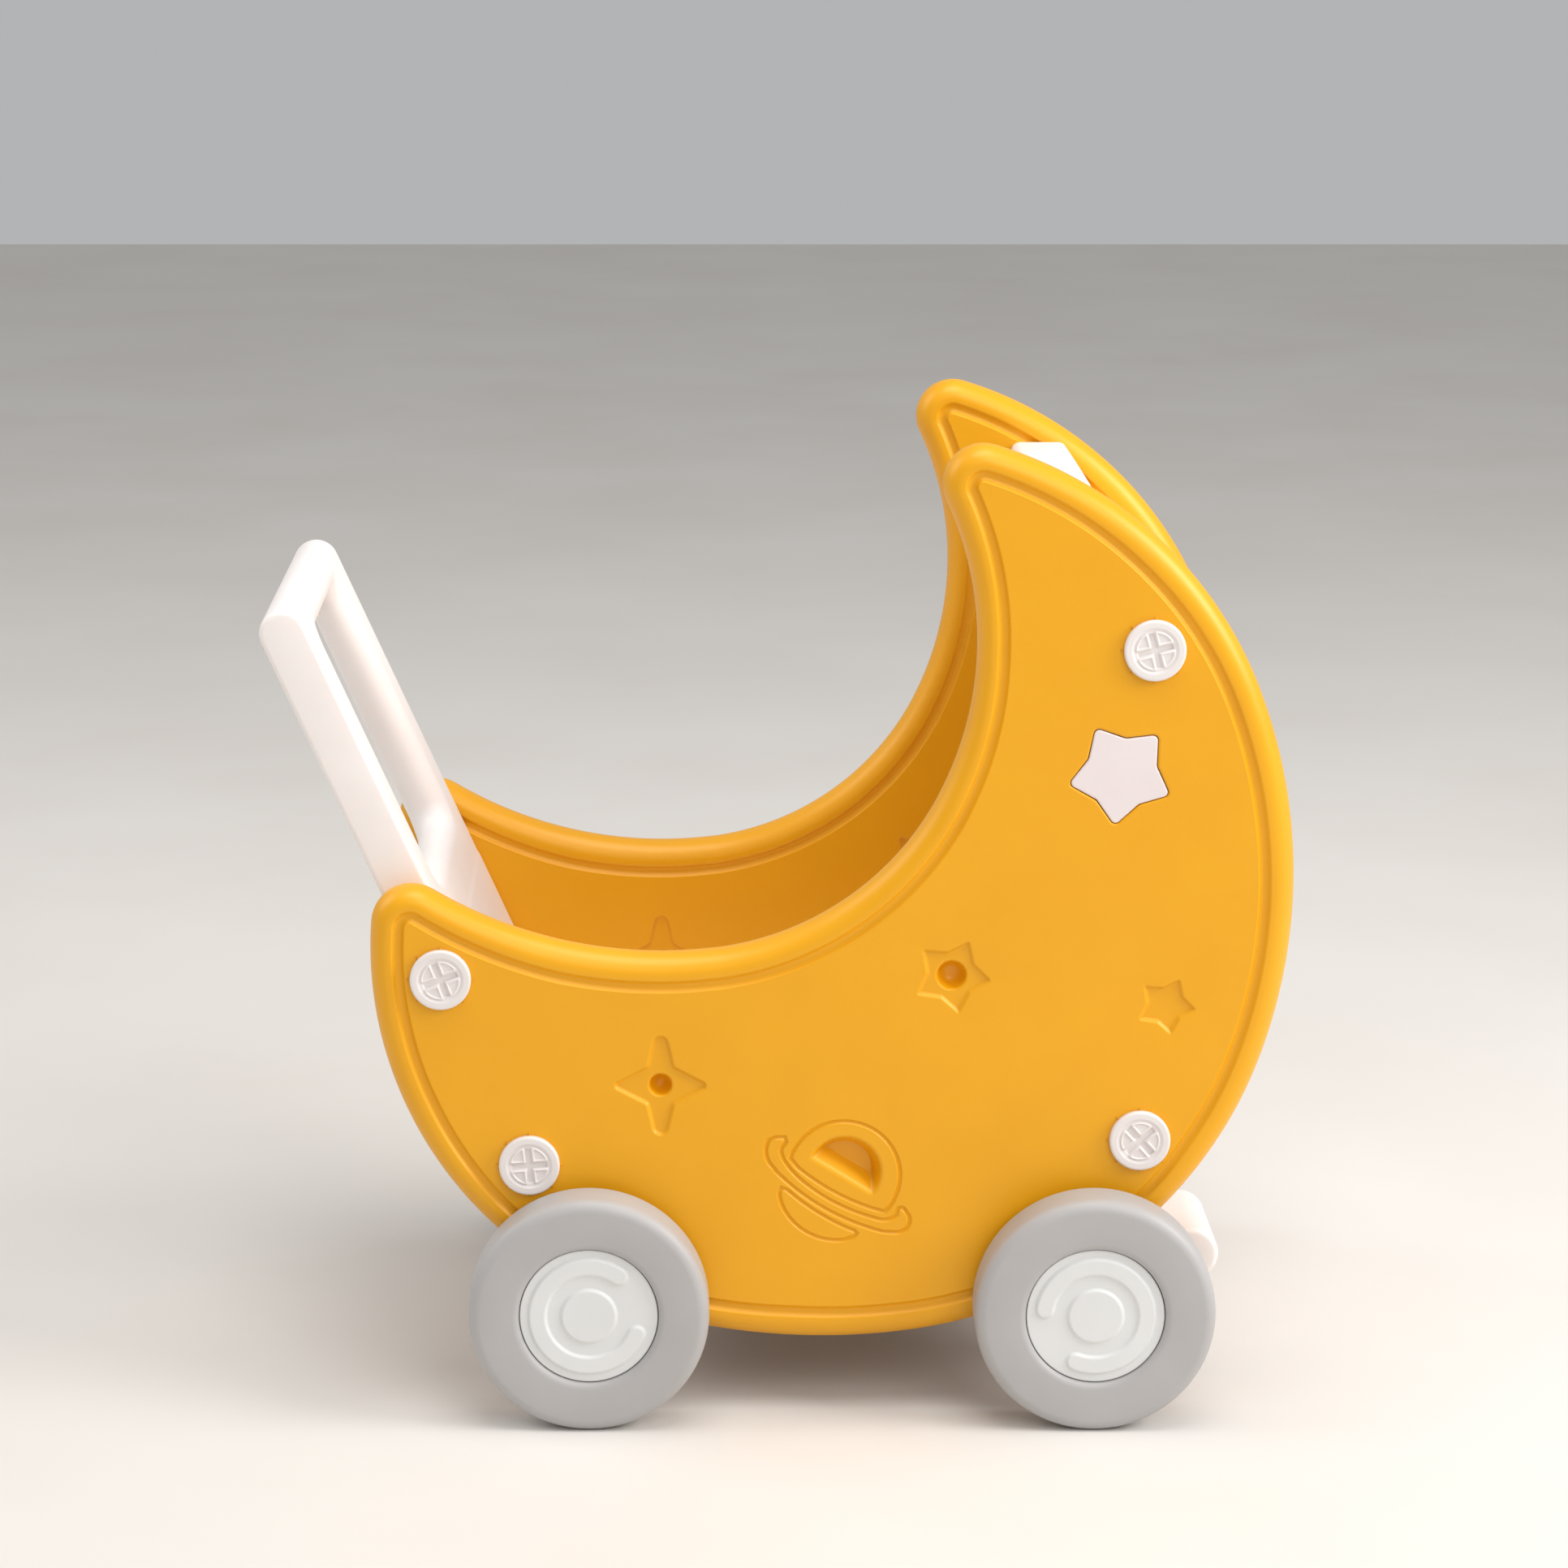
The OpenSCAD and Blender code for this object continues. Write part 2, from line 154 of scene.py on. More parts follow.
# ---- meshes from rings ----
class Solid:
    """Collects the rings and faces of one mesh. place(x, z, h) gives a point's place in mm."""

    def __init__(self, place):
        self.place = place
        self.verts = []
        self.flat = []
        self.faces = []

    def ring(self, points, h):
        first = len(self.verts)
        for p in points:
            self.flat.append(Vector((p[0], p[1])))
            self.verts.append(self.place(p[0], p[1], h))
        return list(range(first, len(self.verts)))

    def bridge(self, a, b):
        for i in range(len(a)):
            self.faces.append((a[i - 1], a[i], b[i], b[i - 1]))

    def rings(self, loop, profile, base=0.0):
        """Rings of a loop at each [inset, height], joined one to the next."""
        made = [self.ring(loop(d), base + h) for d, h in profile]
        for a, b in zip(made, made[1:]):
            self.bridge(a, b)
        return made

    def fill(self, outer, holes=()):
        """Flat face inside the ring outer, with rings left out of it."""
        used = [i for ring in (outer, *holes) for i in ring]
        edges = []
        for ring in (outer, *holes):
            start = len(edges)
            edges += [(start + k, start + (k + 1) % len(ring)) for k in range(len(ring))]
        points = [self.flat[i] for i in used]
        verts, _, faces, sources, _, _ = delaunay_2d_cdt(points, edges, [], 1, 1e-7)
        if len(verts) != len(points):
            raise ValueError("rings of a flat face touch each other")
        at = np.array([v[:] for v in verts])
        mid = np.array([at[list(f)].mean(0) for f in faces])
        keep = inside(mid, [self.flat[i] for i in outer])
        for ring in holes:
            keep &= ~inside(mid, [self.flat[i] for i in ring])
        for face, kept in zip(faces, keep):
            if kept:
                self.faces.append(tuple(used[sources[i][0]] for i in face))

    def relief(self, outer, features, base, side=1):
        """Flat face with features, each (loop, profile, inner features)."""
        holes = []
        for loop, profile, inner in features:
            stepped = [[d, side * h] for d, h in profile]
            made = self.rings(loop, stepped, base)
            holes.append(made[0])
            self.relief(made[-1], inner, base + stepped[-1][1], side)
        self.fill(outer, holes)


def inside(points, polygon):
    """Which of the points lie inside a polygon, by the even-odd rule."""
    a = np.array([p[:] for p in polygon])
    b = np.roll(a, -1, 0)
    x, z = points[:, :1], points[:, 1:]
    crosses = (a[:, 1] > z) != (b[:, 1] > z)
    rise = np.where(b[:, 1] == a[:, 1], 1, b[:, 1] - a[:, 1])
    reach = a[:, 0] + (z - a[:, 1]) * (b[:, 0] - a[:, 0]) / rise
    return (crosses & (x < reach)).sum(1) % 2 == 1


def make_piece(name, solids, material, body, replaced):
    """Object made of closed solids, which stands for CAD nodes and rides on a body."""
    bm = bmesh.new()
    for solid in solids:
        verts = [bm.verts.new(Vector(v) * MM) for v in solid.verts]
        for face in solid.faces:
            if len(set(face)) == len(face):
                bm.faces.new([verts[i] for i in face])
    bmesh.ops.remove_doubles(bm, verts=bm.verts, dist=1e-6)
    bmesh.ops.recalc_face_normals(bm, faces=bm.faces)
    for face in bm.faces:
        face.smooth = True
    mesh = bpy.data.meshes.new(name)
    bm.to_mesh(mesh)
    bm.free()
    mesh.materials.append(material)
    piece = bpy.data.objects.new(name, mesh)
    bpy.context.scene.collection.objects.link(piece)
    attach(piece, body)
    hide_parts(*replaced)
    return piece


def quarter(r, steps=6):
    """Profile of a rounded edge: from the side wall, r below the face, up to the face."""
    turn = [math.pi / 2 * i / steps for i in range(steps + 1)]
    return [[r * (1 - math.cos(a)), r * (math.sin(a) - 1)] for a in turn]


# ---- materials ----
def noise(tree, scale, detail=3.0, rough=0.5):
    """Noise in the object's own metres."""
    where = tree.nodes.new("ShaderNodeTexCoord")
    made = tree.nodes.new("ShaderNodeTexNoise")
    made.inputs["Scale"].default_value = scale
    made.inputs["Detail"].default_value = detail
    made.inputs["Roughness"].default_value = rough
    tree.links.new(where.outputs["Object"], made.inputs["Vector"])
    return made.outputs["Fac"]


def ramp(tree, value, stops):
    made = tree.nodes.new("ShaderNodeValToRGB")
    for element, (at, colour) in zip(made.color_ramp.elements, stops):
        element.position = at
        element.color = (*colour, 1)
    tree.links.new(value, made.inputs["Fac"])
    return made.outputs["Color"]


def spread(tree, value, low, high):
    """Maps 0..1 to low..high."""
    made = tree.nodes.new("ShaderNodeMapRange")
    made.inputs["To Min"].default_value = low
    made.inputs["To Max"].default_value = high
    tree.links.new(value, made.inputs["Value"])
    return made.outputs["Result"]


def srgb(text):
    """Linear colour of a hex code."""
    parts = [int(text[i:i + 2], 16) / 255 for i in (0, 2, 4)]
    return tuple(c / 12.92 if c <= 0.04045 else ((c + 0.055) / 1.055) ** 2.4 for c in parts)


def plastic(name, dark, light, rough, grain, gloss=0.5, glow=0.0, glow_colour=(1, 1, 1),
            sheen=(1, 1, 1)):
    """Moulded plastic: faint mottling, a fine grain, and roughness that varies a little."""
    material = bpy.data.materials.new(name)
    material.use_nodes = True
    tree = material.node_tree
    shader = tree.nodes["Principled BSDF"]
    mottle = noise(tree, 22, 4)
    colour = ramp(tree, mottle, [(0.3, srgb(dark)), (0.7, srgb(light))])
    tree.links.new(colour, shader.inputs["Base Color"])
    tree.links.new(
        spread(tree, noise(tree, 90), rough[0], rough[1]), shader.inputs["Roughness"]
    )
    shader.inputs["IOR"].default_value = 1.5
    shader.inputs["Specular IOR Level"].default_value = gloss
    shader.inputs["Specular Tint"].default_value = (*sheen, 1)
    if glow:
        shader.inputs["Subsurface Weight"].default_value = glow
        shader.inputs["Subsurface Radius"].default_value = glow_colour
        shader.inputs["Subsurface Scale"].default_value = 0.004
    coarse = tree.nodes.new("ShaderNodeBump")
    coarse.inputs["Strength"].default_value = 0.06
    coarse.inputs["Distance"].default_value = 0.0008
    tree.links.new(noise(tree, 35, 2), coarse.inputs["Height"])
    fine = tree.nodes.new("ShaderNodeBump")
    fine.inputs["Strength"].default_value = grain
    fine.inputs["Distance"].default_value = 0.0001
    tree.links.new(noise(tree, 1400, 2, 0.6), fine.inputs["Height"])
    tree.links.new(coarse.outputs["Normal"], fine.inputs["Normal"])
    tree.links.new(fine.outputs["Normal"], shader.inputs["Normal"])
    return material


def steel():
    """Drawn steel rod: fine rings along Y in the roughness."""
    material = bpy.data.materials.new("zinc_steel")
    material.use_nodes = True
    tree = material.node_tree
    shader = tree.nodes["Principled BSDF"]
    shader.inputs["Metallic"].default_value = 1.0
    tint = ramp(tree, noise(tree, 60), [(0.3, srgb("8f9194")), (0.7, srgb("b9bbbd"))])
    tree.links.new(tint, shader.inputs["Base Color"])
    tree.links.new(
        spread(tree, noise(tree, 400), 0.25, 0.42), shader.inputs["Roughness"]
    )
    return material


YELLOW = plastic("yellow_shell", "eaa403", "eda806", (0.36, 0.42), 0.3, 0.75,
                 sheen=(1.0, 0.84, 0.6))
BLUSH = plastic("blush_board", "f2eae6", "f6efec", (0.45, 0.52), 0.2, 0.4,
                glow=0.45, glow_colour=(1.0, 0.75, 0.65))
PLUG = plastic("blush_plug", "e6dad9", "eadfde", (0.42, 0.5), 0.2)
BOLT_WHITE = plastic("white_bolt", "e7dfdc", "ece5e2", (0.38, 0.46), 0.15)
CAP_WHITE = plastic("white_cap", "dddedd", "e2e3e2", (0.42, 0.5), 0.25)
TYRE_GREY = plastic("grey_tyre", "adabaa", "b3b1b0", (0.42, 0.5), 0.35)
NYLON = plastic("nylon", "d8d6cf", "e2e0da", (0.35, 0.45), 0.1)
STEEL = steel()

CAD_FINISH = {
    "axle": (STEEL, "steel"), "retainer": (STEEL, "steel"),
    "bush": (NYLON, "nylon"), "hub": (NYLON, "nylon"), "inserts": (NYLON, "nylon"),
}


def finish_cad_nodes():
    """Materials for the CAD nodes that keep their own shape."""
    for name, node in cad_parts.items():
        if node.hide_render:
            continue
        kind = [k for k in CAD_FINISH if k in name]
        material, slot = CAD_FINISH[kind[0]]
        node.data.materials.clear()
        node.data.materials.append(material)


# ---- side panels ----
# The crescent as tangent arcs [x, z, radius, groove shift], anticlockwise from the right; a
# negative radius is concave, and a negative shift brings the groove closer to the outline.
# Each axle sits in an ear, a small lobe blended into the belly.
EAR_R, EAR_FILLET, EAR_SHIFT = 20, 16, -2.4
BELLY_FRONT = (42.3, 272.4, 232.5, -0.4)
BELLY_REAR = (-4.9, 256.8, 214.3, -1.1)
UPPER_ARCS = [
    BELLY_FRONT,
    (-15.6, 292.8, 293.9, -0.1),    # front
    (50.4, 319.1, 222.9, 0.2),      # brow
    (108.3, 512.1, 21.4, -1.8),     # hood tip
    (-76.6, 425.0, -183.0, -3.4),   # throat
    (-52.8, 412.7, -156.3, -1.3),   # back of the mouth
    (-62.0, 494.0, -238.0, 0.2),    # mouth
    (-196.7, 271.7, 21.9, -1.8),    # rear tip
]
KEEL = (26.0, 380.5, 341.8, 0.3)
ARC_STEP, ARC_TURN = 4.0, 0.14

# The rim's bead, and the channel inside it as [distance from its outer edge, height]
BEAD_W, GROOVE_AT = 11.4, 14.4
CHANNEL = [
    [-1.6, 0], [-1.1, -0.03], [-0.7, -0.15], [-0.3, -0.45], [0.1, -0.95], [0.7, -1.5],
    [1.5, -1.95], [2.5, -2.15], [3.5, -2.05], [4.3, -1.7], [4.9, -1.2], [5.3, -0.7],
    [5.6, -0.3], [5.85, -0.06], [6.15, 0], [6.6, 0],
]

def ear(belly, at):
    """Belly arc, fillet, lobe round the axle, fillet."""
    c, big, small = np.array(belly[:2]), belly[2] + EAR_FILLET, EAR_R + EAR_FILLET
    d = np.linalg.norm(at - c)
    u = (at - c) / d
    along = (big**2 - small**2 + d**2) / (2 * d)
    across = math.sqrt(big**2 - along**2) * np.array([-u[1], u[0]])
    first, last = c + along * u - across, c + along * u + across
    lobe = [(*first, -EAR_FILLET), (*at, EAR_R), (*last, -EAR_FILLET)]
    return [belly] + [(*arc_of, EAR_SHIFT) for arc_of in lobe]


def joint_angle(a, b):
    """Direction of the outward normal where arc a meets arc b."""
    n = (np.array(b[:2]) - a[:2]) / (a[2] - b[2])
    return math.atan2(n[1], n[0])


def crescent():
    """Loop of the whole panel. Its groove's shift runs evenly from arc to arc."""
    arcs = ear(BELLY_FRONT, AXLE["front"]) + UPPER_ARCS + ear(BELLY_REAR, AXLE["rear"])
    arcs += [BELLY_REAR, KEEL]
    samples = []
    middles = []
    for i, a in enumerate(arcs):
        start = joint_angle(arcs[i - 1], a)
        end = joint_angle(a, arcs[(i + 1) % len(arcs)])
        sweep = (end - start) % (2 * math.pi)
        if a[2] < 0:
            sweep = -((start - end) % (2 * math.pi))
        steps = (abs(sweep * a[2]) / ARC_STEP, abs(sweep) / ARC_TURN, 2)
        count = math.ceil(max(steps))
        middles.append((len(samples) + count / 2, a[3]))
        samples += [(np.array(a[:2]), a[2], start + sweep * k / count) for k in range(count)]
    where, shifts = zip(*middles)
    shift = np.interp(range(len(samples)), where, shifts, period=len(samples))

    def ring(d):
        """The bead takes up the shift of the groove."""
        inset = d + shift * min(d / BEAD_W, 1)
        return [c + (r - e) * unit(t) for (c, r, t), e in zip(samples, inset)]

    return ring


def rim_profile():
    """Section of the rim, as [inset, height above the mid-plane]: a half-round bead, then a
    channel with crisp edges, level with the flat face on both sides."""
    turn = [math.pi / 2 * i / 11 for i in range(12)]
    bead = [[BEAD_W * (1 - math.cos(a)), HALF_T * math.sin(a)] for a in turn]
    return bead + [[GROOVE_AT + d, HALF_T + h] for d, h in CHANNEL]


# Profiles of the decorations, as [inset from the outline, height]
POCKET = [[-1.1, 0], [-0.7, -0.02], [-0.3, -0.15], [0.1, -0.45], [0.9, -1.35], [1.3, -1.65],
          [1.7, -1.8], [2.2, -1.8]]
LINE = [[-1.7, 0], [-1.45, 0], [-1.2, -0.12], [-0.8, -0.6], [-0.35, -1.1], [0, -1.2],
        [0.35, -1.1], [0.8, -0.6], [1.2, -0.12], [1.45, 0], [1.7, 0]]
DENT = [[-1.6, 0], [-1.1, 0], [-0.6, -0.12], [-0.15, -0.5], [0.15, -1.2], [0.6, -3.2],
        [1.4, -5.2], [2.4, -6.8], [3.5, -7.9], [4.6, -8.5], [5.2, -8.7]]
SLANT = [[-2.0, 0], [-1.6, 0], [-1.0, -0.12], [-0.4, -0.45], [0.1, -1.0], [0.6, -2.0],
         [3.2, -7.6], [4.4, -9.8], [4.9, -10.4], [5.4, -10.5]]
PLUG_GAP = [[-1.5, 0], [-1.1, 0], [-0.7, -0.1], [-0.3, -0.35], [-0.05, -0.8], [0.05, -1.3],
            [0.05, -8], [0.6, -8.2]]

STAR_PLUG_AT = np.array([183.2, 357.2])
BIG_STAR_AT = np.array([94.2, 245.7])
SMALL_STAR_AT = np.array([209.7, 229.1])
SPARK_AT = np.array([-62.5, 184.3])
PLANET_AT = np.array([36.7, 133.6])
PLUG_R, PLUG_IN_R, PLUG_ANGLE, PLUG_SPARE, PLUG_DEPTH = 28.6, 19.2, 47.7, 0.5, 8
BIG_DENT_R, SPARK_DENT_R = 7.9, 6.1


def between(origin, points):
    """Points given from an origin."""
    return [origin + np.array(p, float) for p in points]


def spark_loop():
    """Four-pointed star with rounded tips."""
    upper = [[27.4, 0, 2.4], [7.3, 10.6, 2.5], [0, 42.5, 4.2], [-7.3, 10.6, 2.5]]
    both = upper + [[-x, -z, r] for x, z, r in upper]
    return outline([[SPARK_AT[0] + x, SPARK_AT[1] + z, r] for x, z, r in both])


def planet_features():
    """Engraved ringed planet: a dome with a deep dent, the ring, and the lower crescent."""
    def sweep(x, z, radius, start, end, count):
        return arc(PLANET_AT + (x, z), radius, start, end, count)

    dome = sweep(0, 0, 30.7, -42, 161, 30) + sweep(56.8, 100.2, 125.7, -130.4, -108.8, 7)
    dent = d_shape(PLANET_AT + (0.6, 1.9), 19.8, -1.8, 58, 1.45)
    ring = sweep(-29, 14, 13.2, 152, 231, 7) + sweep(54, 89.8, 125.9, -136.5, -107.5, 12)
    ring += between(PLANET_AT, [(22.4, -32)]) + sweep(29.2, -25.3, 7, -97, 20, 8)
    ring += sweep(31.5, -20.4, 2.2, 35, 165, 5) + sweep(22, -15.4, 9.8, -42, -108, 5)
    ring += sweep(44.1, 74.3, 102, -108.5, -132.5, 10)
    ring += between(PLANET_AT, [
        (-29.3, 4.1), (-32.6, 9), (-34, 13.2), (-33.6, 16), (-32.1, 17.6), (-31.2, 19.4),
        (-31.9, 21.6), (-37, 21.6)])
    crescent_low = between(PLANET_AT, [(-33.5, -6.8), (-34.9, -10)])
    crescent_low += sweep(-3.1, -4, 32.8, -160, -84, 9)
    crescent_low += between(PLANET_AT, [(6, -34.6), (7.4, -32.6), (6, -31.2)])
    crescent_low += sweep(57.3, 89.4, 131.3, -115, -132, 7)
    return [
        (outline(dome), LINE, [(dent, SLANT, [])]),
        (outline(ring), LINE, []),
        (outline(crescent_low), LINE, []),
    ]


def panel_features():
    """Decorations that both faces of a panel have."""
    big_dent = (circle(BIG_STAR_AT, BIG_DENT_R, 40), DENT, [])
    spark_dent = (circle(SPARK_AT, SPARK_DENT_R, 40), DENT, [])
    return planet_features() + [
        (star(BIG_STAR_AT, 5, 21.2, 13.5, 65), POCKET, [big_dent]),
        (star(SMALL_STAR_AT, 5, 16.2, 10.3, 64.6), POCKET, []),
        (spark_loop(), POCKET, [spark_dent]),
    ]


TICKS, TICK_HALF_W, TICK_LEN, TICK_TOP, TICK_TAPER = 8, 0.55, 2.4, 0.8, 0.15
TICK_UNDER_HEAD, TICK_SUNK = 0.6, 0.2


def bolt_ticks(place):
    """Small raised marks round each bolt head, sunk a little into the face."""
    ticks = []
    for name in BOLTS:
        for i in range(TICKS):
            out = unit(2 * math.pi * i / TICKS)
            across = TICK_HALF_W * np.array([-out[1], out[0]])
            foot = BOLT_AT[name] + (BOLT_R - TICK_UNDER_HEAD) * out
            tick = Solid(place)
            corners = [foot - across, foot + TICK_LEN * out, foot + across]
            base = tick.ring(corners, HALF_T - TICK_SUNK)
            top = tick.ring([c - TICK_TAPER * (c - foot) for c in corners], HALF_T + TICK_TOP)
            tick.bridge(base, top)
            tick.fill(base)
            tick.fill(top)
            ticks.append(tick)
    return ticks


def side_panel(side_name):
    """Crescent shell with its decorations; only its outer face has the star plug's socket."""
    side = SIDES[side_name]

    def place(x, z, h):
        return (x, side * (PANEL_MID + h), z)

    shell = Solid(place)
    half = rim_profile()
    profile = [[d, -h] for d, h in reversed(half[1:])] + half
    made = shell.rings(crescent(), profile)
    socket = star(STAR_PLUG_AT, 5, PLUG_R + PLUG_SPARE, PLUG_IN_R + PLUG_SPARE, PLUG_ANGLE, 2.9, 4)
    shell.relief(made[-1], panel_features() + [(socket, PLUG_GAP, [])], HALF_T)
    shell.relief(made[0], panel_features(), -HALF_T, -1)
    make_piece(f"panel_{side_name}", [shell, *bolt_ticks(place)], YELLOW, "frame",
               [f"side_panel_{side_name}"])


def star_plug(side_name):
    """Star that fills its socket, a hair below the panel's face."""
    side = SIDES[side_name]
    body = Solid(lambda x, z, h: (x, side * (PANEL_OUT + h), z))
    loop = star(STAR_PLUG_AT, 5, PLUG_R, PLUG_IN_R, PLUG_ANGLE, 2.7, 4)
    sunk = 0.1
    edge = [[d, h - sunk] for d, h in quarter(0.9)] + [[1.6, -sunk]]
    made = body.rings(loop, [[0, -PLUG_DEPTH]] + edge)
    body.fill(made[-1])
    body.fill(made[0])
    make_piece(f"plug_{side_name}", [body], PLUG, "frame",
               [f"star_plug_{side_name}"])


# ---- bolts ----
CROSS_TURN = {"grip": 21, "rear": 5, "hood": 15, "front": 42}
SLOT_HALF, SLOT_REACH = 1.6, 9.7
DISH_R, RIB_R, SHANK_R = 12.4, 10.7, 6.0

# Profiles of a bolt's head, as [inset, height]
SLOT = [[-0.15, 0], [0.0, -0.1], [0.25, -1.1], [0.45, -1.25], [0.8, -1.25]]
RIB = [[-0.15, 0], [0.0, 0.1], [0.25, 0.55], [0.6, 0.7], [0.95, 0.55], [1.25, 0.1],
       [1.45, 0], [1.7, 0]]
DISH = [[-0.7, 0], [-0.3, 0], [0.1, -0.1], [0.6, -0.45], [1.1, -0.65], [1.5, -0.7]]


def turned(points, angle, origin):
    """Points turned by an angle in degrees, then moved to an origin."""
    c = unit(math.radians(angle))
    return [
        [origin[0] + c[0] * p[0] - c[1] * p[1], origin[1] + c[1] * p[0] + c[0] * p[1], *p[2:]]
        for p in points
    ]


def quadrant(inner, outer, turn, origin):
    """Loop of a quarter of a disc, its straight sides a little off the axes."""
    def ring(d):
        low, r = inner + d, outer - d
        start = math.degrees(math.asin(low / r))
        curve = [list(p) for p in arc((0, 0), r, start, 90 - start, 6)]
        curve[0].append(0.5)
        curve[-1].append(0.5)
        return outline(turned([[low, low, 0.4], *curve], turn, origin))(0)

    return ring


def bolt(name, side_name):
    """Head with a dished face, a cross slot and a rib round each quarter, on a plain shank."""
    side = SIDES[side_name]
    origin = BOLT_AT[name]
    turn = CROSS_TURN[name]
    lo, hi = lo_hi(f"bolt_{name}_left")
    height = hi[1] - PANEL_OUT
    head = Solid(lambda x, z, h: (x, side * (hi[1] + h), z))
    s, reach = SLOT_HALF, SLOT_REACH
    arm = [[reach, -s, 0.6], [reach, s, 0.6], [s, s, 0.3]]
    cross = [p for k in range(4) for p in turned(arm, 90 * k, (0, 0))]
    features = [(outline(turned(cross, turn, origin)), SLOT, [])]
    for k in range(4):
        features.append((quadrant(s + 0.4, RIB_R, turn + 90 * k, origin), RIB, []))
    made = head.rings(circle(origin, BOLT_R, 72), [[0, -height]] + quarter(1.3) + [[1.9, 0]])
    head.relief(made[-1], [(circle(origin, DISH_R, 64), DISH, features)], 0)
    head.rings(circle(origin, BOLT_R, 72), [[0, -height], [BOLT_R - SHANK_R, -height]])
    down = head.rings(circle(origin, SHANK_R, 72), [[0, -height], [0, lo[1] - hi[1]]])
    head.fill(down[-1])
    make_piece(f"screw_{name}_{side_name}", [head], BOLT_WHITE, "frame",
               [f"bolt_{name}_{side_name}"])


# ---- boards ----
LEAN = math.radians(24.3)
HANDLE_HALF_T = 13.0
HANDLE_LEN = 398.0
PAD_T, PAD_LOW, PAD_HIGH = 0.4, 12.0, 200.0
WINDOW_LOW = PAD_HIGH + 8
GRIP_LOW, LEG_W, GRIP_CORNER = 234.0, 36.0, 12.0
# The grip opening is narrowest at GRIP_MID, a little in front of the board's middle. The others
# say how far its sides, its lower rim and its bar draw back from there to the board's faces.
GRIP_MID, GRIP_STEPS = 3.0, 16
LEG_FRONT, LEG_BACK, LOW_FRONT, LOW_BACK, BAR_ROUND = 10, 19, 10, 14, 12.6
END_FILLET = 3.0


def handle_place(n, u, y):
    """Handle board coordinates: n across the board, u up it from the rear axle."""
    x, z = AXLE["rear"]
    c, s = math.cos(LEAN), math.sin(LEAN)
    return (x + n * c - u * s, y, z + n * s + u * c)


def handle_side():
    """Loop of the handle board's side view, with the raised pad on its front."""
    t, top = HANDLE_HALF_T, HANDLE_LEN
    sides = [list(p) for p in arc((0, 0), t, 180, 360, 12)]
    sides += [[t, PAD_LOW - 3, 2], [t + PAD_T, PAD_LOW + 1, 2], [t + PAD_T, PAD_HIGH - 2, 1],
              [t, PAD_HIGH + 1.5, 3], [t, WINDOW_LOW]]
    sides += [list(p) for p in arc((0, top), t, 0, 180, 16)] + [[-t, WINDOW_LOW]]
    return outline(sides)


def round_share(way):
    """Height lost by a round edge at a share of the way out to its side."""
    return 1 - math.sqrt(max(0, 1 - way**2))


def grip_rings(board):
    """Rings of the grip opening's inner edge, from the board's front to its back."""
    t, top, y_mid = HANDLE_HALF_T, HANDLE_LEN, BOARD_END - LEG_W
    rings = []
    for i in range(GRIP_STEPS + 1):
        n = t * math.cos(math.pi * i / GRIP_STEPS)
        if n >= GRIP_MID:
            share = round_share((n - GRIP_MID) / (t - GRIP_MID))
            leg, low = LEG_FRONT * share, LOW_FRONT * share
        else:
            share = round_share((GRIP_MID - n) / (t + GRIP_MID))
            leg, low = LEG_BACK * share, LOW_BACK * share
        bar = BAR_ROUND * round_share(n / t)
        y, u0, u1 = y_mid + leg, GRIP_LOW - low, top - t + bar
        r = GRIP_CORNER + min(leg, low, bar) * 0.8
        corners = outline([[y, u1, r], [-y, u1, r], [-y, u0, r], [y, u0, r]], 8)(0)
        first = len(board.verts)
        for p in corners:
            board.verts.append(handle_place(n, p[1], p[0]))
            board.flat.append(Vector((p[0], p[1])))
        rings.append(list(range(first, len(board.verts))))
    return rings


def handle_board():
    """Board with filleted ends. Its skin leaves out the two flats that the grip is cut in."""
    board = Solid(handle_place)
    loop = handle_side()
    ends = []
    for side in (1, -1):
        made = board.rings(loop, [[d, side * (BOARD_END + h)] for d, h in quarter(END_FILLET)])
        board.fill(made[-1])
        ends.append(made[0])
    first, last = ends
    flat = [board.flat[i] for i in first]

    def on_window(p, side):
        near = abs(p[0] - side * HANDLE_HALF_T) < 1e-3
        return near and WINDOW_LOW - 1e-3 <= p[1] <= HANDLE_LEN + 1e-3

    window = {side: [i for i, p in enumerate(flat) if on_window(p, side)] for side in (1, -1)}
    for i in range(len(first)):
        j = (i + 1) % len(first)
        if not any(i in w and j in w for w in window.values()):
            board.faces.append((first[i], first[j], last[j], last[i]))
    rings = grip_rings(board)
    for a, b in zip(rings, rings[1:]):
        board.bridge(a, b)
    reach = BOARD_END - END_FILLET
    for side, hole in ((1, rings[0]), (-1, rings[-1])):
        ids = window[side]
        border = [first[i] for i in ids] + [last[i] for i in reversed(ids)]
        for i in border:
            board.flat[i] = Vector((reach if i in first else -reach, board.flat[i][1]))
        board.fill(border, [hole])
    make_piece("handle", [board], BLUSH, "frame", ["handle_board"])


def extrusion(loop, y0, y1, r):
    """Closed solid along Y with rounded end edges."""
    solid = Solid(lambda x, z, h: (x, h, z))
    up = [[d, y1 + h] for d, h in quarter(r)]
    down = [[d, y0 - h] for d, h in reversed(quarter(r))]
    made = solid.rings(loop, down + up)
    solid.fill(made[0])
    solid.fill(made[-1])
    return solid


FRONT_ARC_AT, FRONT_ARC_R = np.array([-115.0, 292.5]), 339.0
FRONT_HALF_T, FRONT_LOW = 14.0, -29
FRONT_TOP, FRONT_TOP_CORNER = 498.5, 5.0
FOOT_R = 16.0
TOE_AT, TOE_R, ARCH_HALF = np.array([230.2, 79.6]), 14.7, 42.0


